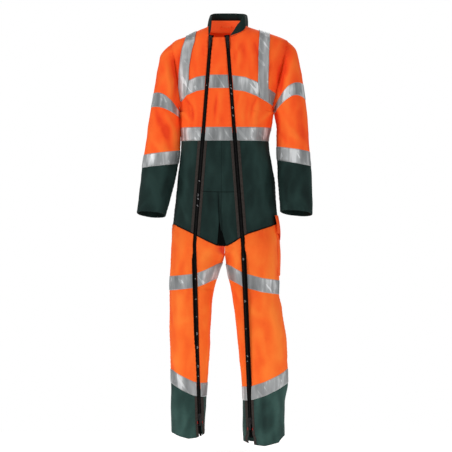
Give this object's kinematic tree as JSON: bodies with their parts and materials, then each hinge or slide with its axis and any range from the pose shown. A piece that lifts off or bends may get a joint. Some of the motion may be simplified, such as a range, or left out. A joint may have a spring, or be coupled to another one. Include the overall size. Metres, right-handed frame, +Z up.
{
  "type": "double-zip high-visibility coverall",
  "caption": "Hi-vis orange and dark green work coverall with two full-length zips, reflective tape, stand collar and a thigh pocket, in its worn shape.",
  "frame": {"origin": "in the gap of the hanger loop inside the back neck", "axes": "+Z up, the front of the garment faces -Y, the wearer's right side is -X"},
  "size_m": [0.6472, 0.2551, 1.576],
  "materials": {
    "orange_cloth": "matt woven",
    "green_cloth": "matt woven",
    "reflective_tape": "satin, retroreflective",
    "black_webbing": "matt woven",
    "taupe_binding": "matt woven",
    "zip_plastic": "moulded",
    "zip_metal": "dark plated"
  },
  "bodies": {
    "garment": {"back_upper": "orange_cloth", "chest_front_centre": "orange_cloth", "chest_front_left": "orange_cloth", "chest_front_right": "orange_cloth", "collar_lining": "orange_cloth", "collar_outer": "green_cloth", "hanger_loop": "orange_cloth", "hip_back": "green_cloth", "hip_front_centre_left": "green_cloth", "hip_front_centre_right": "green_cloth", "hip_front_left": "green_cloth", "hip_front_right": "green_cloth", "leg_back_left": "orange_cloth", "leg_back_right": "orange_cloth", "leg_front_inner_left": "orange_cloth", "leg_front_inner_right": "orange_cloth", "leg_front_outer_left": "orange_cloth", "leg_front_outer_right": "orange_cloth", "pocket_bag": "orange_cloth", "shin_left": "green_cloth", "shin_right": "green_cloth", "sleeve_lower_left": "green_cloth", "sleeve_lower_right": "green_cloth", "sleeve_upper_left": "orange_cloth", "sleeve_upper_right": "orange_cloth", "tape_arm_left": "reflective_tape", "tape_arm_right": "reflective_tape", "tape_brace_left": "reflective_tape", "tape_brace_right": "reflective_tape", "tape_chest_back": "reflective_tape", "tape_chest_centre": "reflective_tape", "tape_chest_left": "reflective_tape", "tape_chest_right": "reflective_tape", "tape_forearm_left": "reflective_tape", "tape_forearm_right": "reflective_tape", "tape_shin_left": "reflective_tape", "tape_shin_right": "reflective_tape", "tape_thigh_left": "reflective_tape", "tape_thigh_right": "reflective_tape", "tape_waist_centre": "reflective_tape", "tape_waist_wrap": "reflective_tape", "waist_elastic": "black_webbing", "zip_facing_left_left": "taupe_binding", "zip_facing_left_right": "taupe_binding", "zip_facing_right_left": "taupe_binding", "zip_facing_right_right": "taupe_binding", "zip_tape_left": "black_webbing", "zip_tape_right": "black_webbing", "zip_teeth_left": "zip_plastic", "zip_teeth_right": "zip_plastic"},
    "slider_top_right_body": {"slider_top_right": "zip_metal"},
    "pull_tab_top_right_body": {"pull_tab_top_right": "zip_metal"},
    "slider_top_left_body": {"slider_top_left": "zip_metal"},
    "pull_tab_top_left_body": {"pull_tab_top_left": "zip_metal"},
    "slider_bottom_right_body": {"slider_bottom_right": "zip_metal"},
    "pull_tab_bottom_right_body": {"pull_tab_bottom_right": "zip_metal"},
    "slider_bottom_left_body": {"slider_bottom_left": "zip_metal"},
    "pull_tab_bottom_left_body": {"pull_tab_bottom_left": "zip_metal"},
    "pocket_flap_body": {"pocket_flap": "orange_cloth"}
  },
  "joints": [
    {"name": "zip_top_right", "type": "slide", "parent": "garment", "child": "slider_top_right_body", "axis": [-0.0774, -0.0299, -0.9966], "range_m": [0, 0.662]},
    {"name": "pull_top_right", "type": "hinge", "parent": "slider_top_right_body", "child": "pull_tab_top_right_body", "pos_m": [-0.05995, -0.15843, -0.0567], "axis": [-0.9681, 0.2414, 0.068], "range_deg": [0, 150]},
    {"name": "zip_bottom_right", "type": "slide", "parent": "garment", "child": "slider_bottom_right_body", "axis": [-0.0276, -0.0982, 0.9948], "range_m": [0, 0.546]},
    {"name": "pull_bottom_right", "type": "hinge", "parent": "slider_bottom_right_body", "child": "pull_tab_bottom_right_body", "pos_m": [-0.09729, -0.11801, -1.44147], "axis": [-0.9116, -0.4059, -0.0654], "range_deg": [0, 150]},
    {"name": "zip_top_left", "type": "slide", "parent": "garment", "child": "slider_top_left_body", "axis": [0.0748, -0.0416, -0.9963], "range_m": [0, 0.662]},
    {"name": "pull_top_left", "type": "hinge", "parent": "slider_top_left_body", "child": "pull_tab_top_left_body", "pos_m": [0.00349, -0.16075, -0.05671], "axis": [-0.9955, -0.0609, -0.0722], "range_deg": [0, 150]},
    {"name": "zip_bottom_left", "type": "slide", "parent": "garment", "child": "slider_bottom_left_body", "axis": [-0.0419, -0.1093, 0.9931], "range_m": [0, 0.563]},
    {"name": "pull_bottom_left", "type": "hinge", "parent": "slider_bottom_left_body", "child": "pull_tab_bottom_left_body", "pos_m": [0.08485, -0.12016, -1.45669], "axis": [-0.9135, 0.4067, 0.0062], "range_deg": [0, 150]},
    {"name": "flap_hinge", "type": "hinge", "parent": "garment", "child": "pocket_flap_body", "pos_m": [0.1894, -0.063, -0.7016], "axis": [0, -1, 0], "range_deg": [0, 72]}
  ]
}
